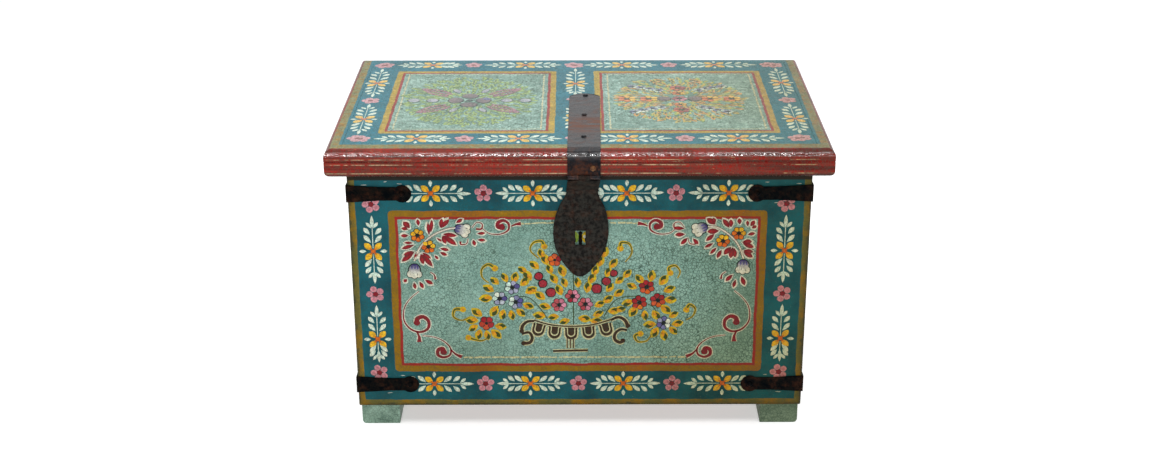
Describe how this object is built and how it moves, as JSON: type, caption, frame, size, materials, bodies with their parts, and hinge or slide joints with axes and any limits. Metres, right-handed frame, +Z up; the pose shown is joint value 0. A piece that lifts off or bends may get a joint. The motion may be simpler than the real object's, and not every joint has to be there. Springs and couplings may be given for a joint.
{
  "type": "wooden chest",
  "caption": "Rectangular painted wooden chest on low block feet, with an overhanging hinged lid, iron corner straps, and a hasp that closes over a staple.",
  "frame": {"origin": "on the floor, under the middle of the chest's outer box", "axes": "+X along the long side, to the right seen from the front; the hasp's side faces -Y; +Z up"},
  "size_m": [0.61, 0.391, 0.3839],
  "materials": {
    "painted_wood": "crackled, varnished hand painting",
    "red_moulding": "worn varnished red paint",
    "pale_foot": "crackled pale blue-green paint",
    "bare_wood": "dark stained, unvarnished",
    "black_iron": "hammered, blackened, with rust"
  },
  "bodies": {
    "case": {"back_board": "painted_wood", "bottom_board": "bare_wood", "foot_front_left": "pale_foot", "foot_front_right": "pale_foot", "foot_rear_left": "pale_foot", "foot_rear_right": "pale_foot", "front_board": "painted_wood", "hinge_left_case_leaf": "black_iron", "hinge_left_pin": "black_iron", "hinge_right_case_leaf": "black_iron", "hinge_right_pin": "black_iron", "left_end_board": "painted_wood", "nail_hinge_left_lower": "black_iron", "nail_hinge_left_upper": "black_iron", "nail_hinge_right_lower": "black_iron", "nail_hinge_right_upper": "black_iron", "nail_strap_front_left_lower_end": "black_iron", "nail_strap_front_left_lower_face": "black_iron", "nail_strap_front_left_upper_end": "black_iron", "nail_strap_front_left_upper_face": "black_iron", "nail_strap_front_right_lower_end": "black_iron", "nail_strap_front_right_lower_face": "black_iron", "nail_strap_front_right_upper_end": "black_iron", "nail_strap_front_right_upper_face": "black_iron", "nail_strap_rear_left_lower_end": "black_iron", "nail_strap_rear_left_lower_face": "black_iron", "nail_strap_rear_left_upper_end": "black_iron", "nail_strap_rear_left_upper_face": "black_iron", "nail_strap_rear_right_lower_end": "black_iron", "nail_strap_rear_right_lower_face": "black_iron", "nail_strap_rear_right_upper_end": "black_iron", "nail_strap_rear_right_upper_face": "black_iron", "right_end_board": "painted_wood", "staple": "black_iron", "strap_front_left_lower": "black_iron", "strap_front_left_upper": "black_iron", "strap_front_right_lower": "black_iron", "strap_front_right_upper": "black_iron", "strap_rear_left_lower": "black_iron", "strap_rear_left_upper": "black_iron", "strap_rear_right_lower": "black_iron", "strap_rear_right_upper": "black_iron"},
    "lid": {"hasp_pin": "black_iron", "hasp_strap": "black_iron", "hinge_left_lid_leaf": "black_iron", "hinge_right_lid_leaf": "black_iron", "lid_board": "painted_wood", "lid_front_moulding": "red_moulding", "lid_left_moulding": "red_moulding", "lid_rear_moulding": "red_moulding", "lid_right_moulding": "red_moulding", "nail_hasp_back": "black_iron", "nail_hasp_edge": "black_iron", "nail_hasp_fore": "black_iron", "nail_hasp_middle": "black_iron"},
    "hasp": {"hasp_leaf": "black_iron"}
  },
  "joints": [
    {"name": "lid_hinge", "type": "hinge", "parent": "case", "child": "lid", "pos_m": [0, 0.17702, 0.3405], "axis": [-1, 0, 0], "range_deg": [0, 110]},
    {"name": "hasp_hinge", "type": "hinge", "parent": "lid", "child": "hasp", "pos_m": [0.005, -0.19273, 0.3468], "axis": [-1, 0, 0], "range_deg": [0, 170]}
  ]
}
